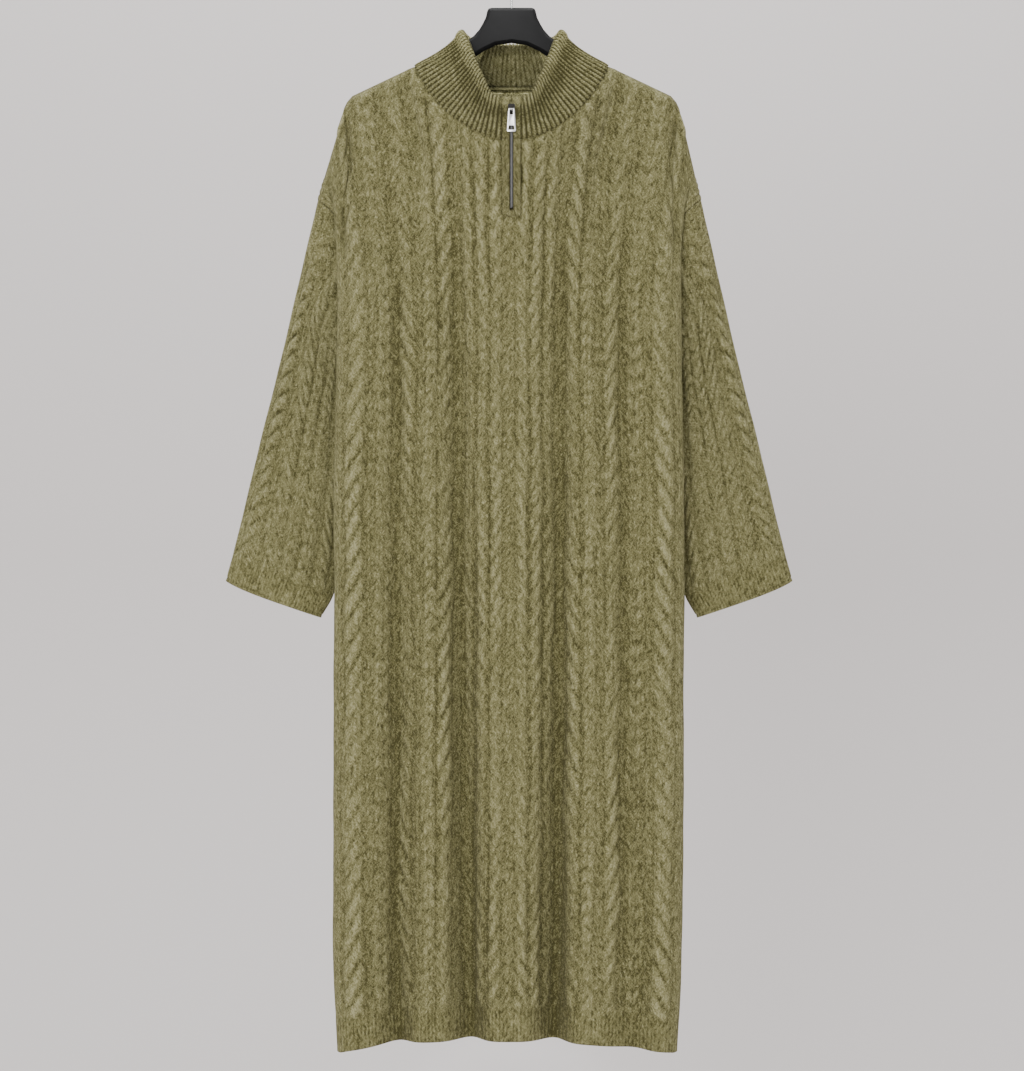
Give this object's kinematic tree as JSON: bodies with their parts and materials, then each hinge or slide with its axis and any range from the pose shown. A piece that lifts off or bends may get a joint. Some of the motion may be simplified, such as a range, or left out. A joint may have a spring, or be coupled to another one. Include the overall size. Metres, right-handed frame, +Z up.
{
  "type": "cable-knit sweater dress on a clothes hanger",
  "caption": "Long cable-knit sweater dress with a half-zip stand collar, dropped shoulders and wide sleeves, hung on a hanger; the zip's pull tab swings.",
  "frame": {"origin": "inside top of the hanger's hook, where it hangs", "axes": "+Z up out of the hook, -Y out of the front of the dress, +X towards the wearer's left"},
  "size_m": [0.741, 0.1186, 1.4282],
  "materials": {
    "knit": "brushed cable knit, olive melange",
    "rib": "brushed rib knit, olive melange",
    "zip_teeth": "satin",
    "zip_metal": "polished",
    "hanger_plastic": "satin",
    "hook_wire": "polished"
  },
  "bodies": {
    "garment": {"front": "knit", "back": "knit", "sleeve_left": "knit", "sleeve_right": "knit", "collar": "rib", "placket": "rib", "zip_chain": "zip_teeth", "zip_slider": "zip_metal", "hanger": "hanger_plastic", "hook": "hook_wire"},
    "pull_tab": {"zip_pull": "zip_metal"}
  },
  "joints": [
    {"name": "pull_tab_swing", "type": "hinge", "parent": "garment", "child": "pull_tab", "pos_m": [0, -0.0648, -0.21797], "axis": [-1, 0, 0], "range_deg": [0, 150]}
  ]
}
